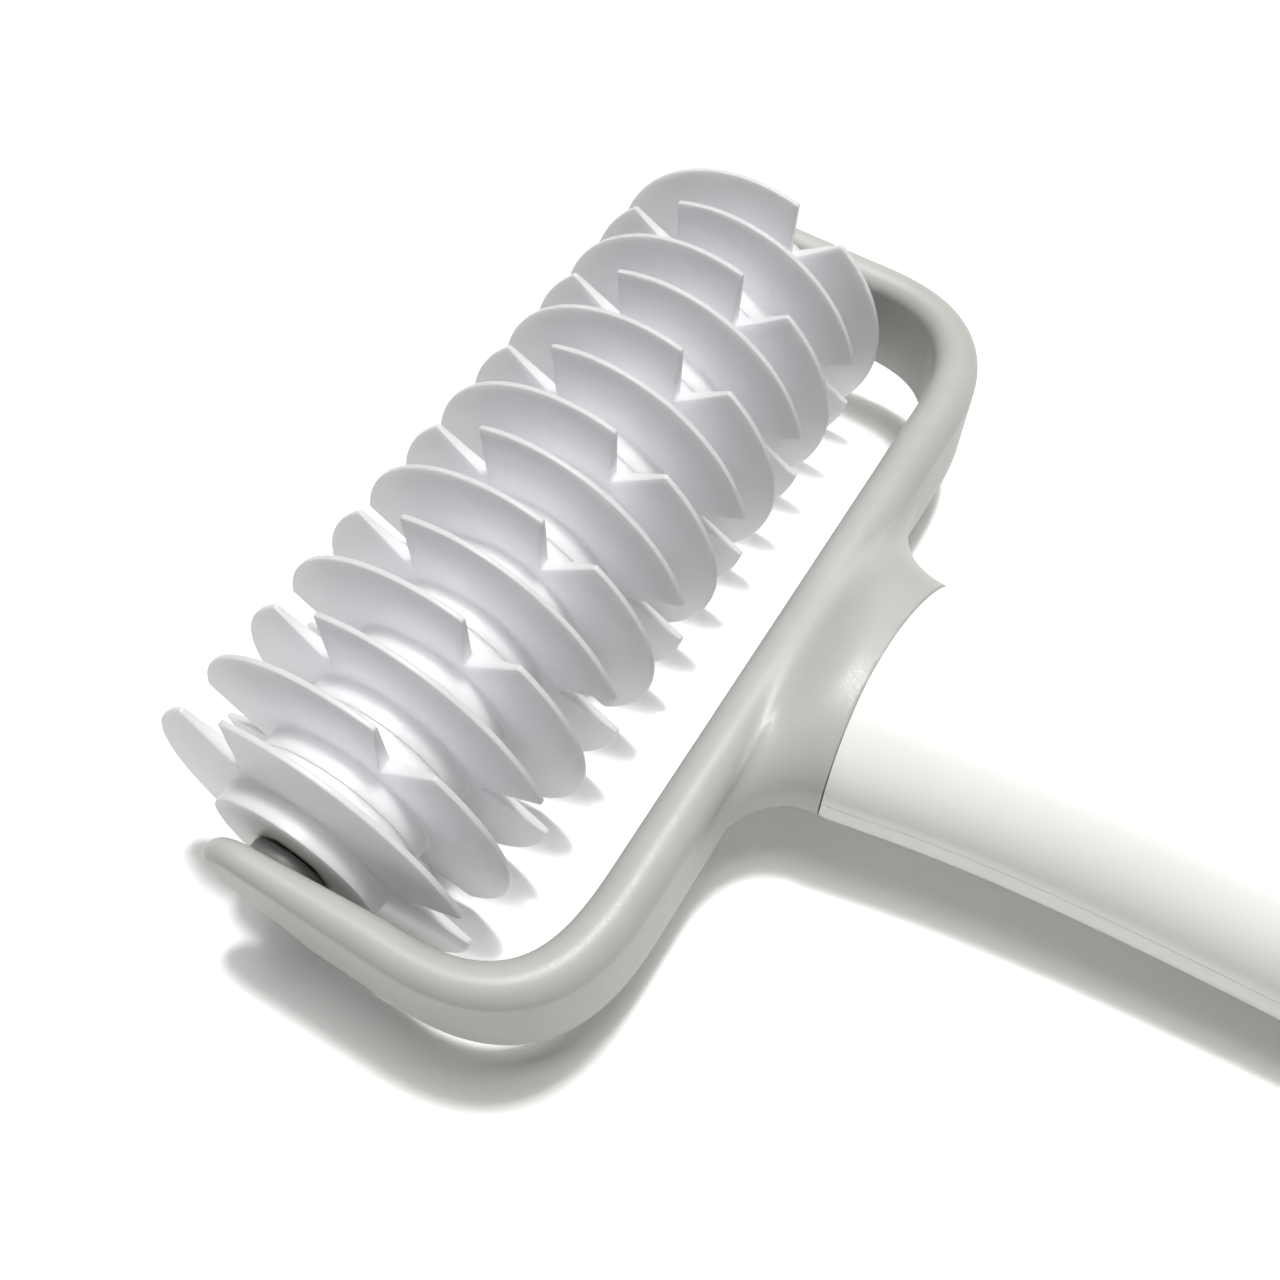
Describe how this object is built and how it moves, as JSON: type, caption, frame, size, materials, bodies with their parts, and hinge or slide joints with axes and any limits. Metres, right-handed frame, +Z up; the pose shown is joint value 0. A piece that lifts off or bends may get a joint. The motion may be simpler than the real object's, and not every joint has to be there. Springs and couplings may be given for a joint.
{
  "type": "pasta cutter rolling pin",
  "caption": "Lattice roller for pasta and pastry: notched white cutting discs turn on a core between the arms of a grey U-shaped frame with a rounded white handle.",
  "frame": {"origin": "centre of the footprint, on the surface that the tool lies on", "axes": "+X along the roller's axle, +Y from the roller towards the end of the handle, +Z up; the tool lies at rest on its rims and the underside of the handle's end"},
  "size_m": [0.1238, 0.2061, 0.0448],
  "materials": {
    "white_polypropylene": "satin moulded",
    "grey_abs": "satin moulded, fine grain",
    "white_abs": "smooth moulded",
    "natural_nylon": "plain moulded",
    "black_acetal": "plain moulded"
  },
  "bodies": {
    "frame": {"frame": "grey_abs", "handle_upper_shell": "white_abs", "handle_lower_shell": "white_abs"},
    "roller": {"cutter_disc_01": "white_polypropylene", "cutter_disc_02": "white_polypropylene", "cutter_disc_03": "white_polypropylene", "cutter_disc_04": "white_polypropylene", "cutter_disc_05": "white_polypropylene", "cutter_disc_06": "white_polypropylene", "cutter_disc_07": "white_polypropylene", "cutter_disc_08": "white_polypropylene", "cutter_disc_09": "white_polypropylene", "cutter_disc_10": "white_polypropylene", "cutter_disc_11": "white_polypropylene", "cutter_disc_12": "white_polypropylene", "cutter_disc_13": "white_polypropylene", "cutter_disc_14": "white_polypropylene", "roller_core": "natural_nylon", "pivot_bush_near": "black_acetal", "pivot_bush_far": "black_acetal"}
  },
  "joints": [
    {"name": "roller_spin", "type": "hinge", "parent": "frame", "child": "roller", "pos_m": [0, -0.08055, 0.02241], "axis": [1, 0, 0], "continuous": true}
  ]
}
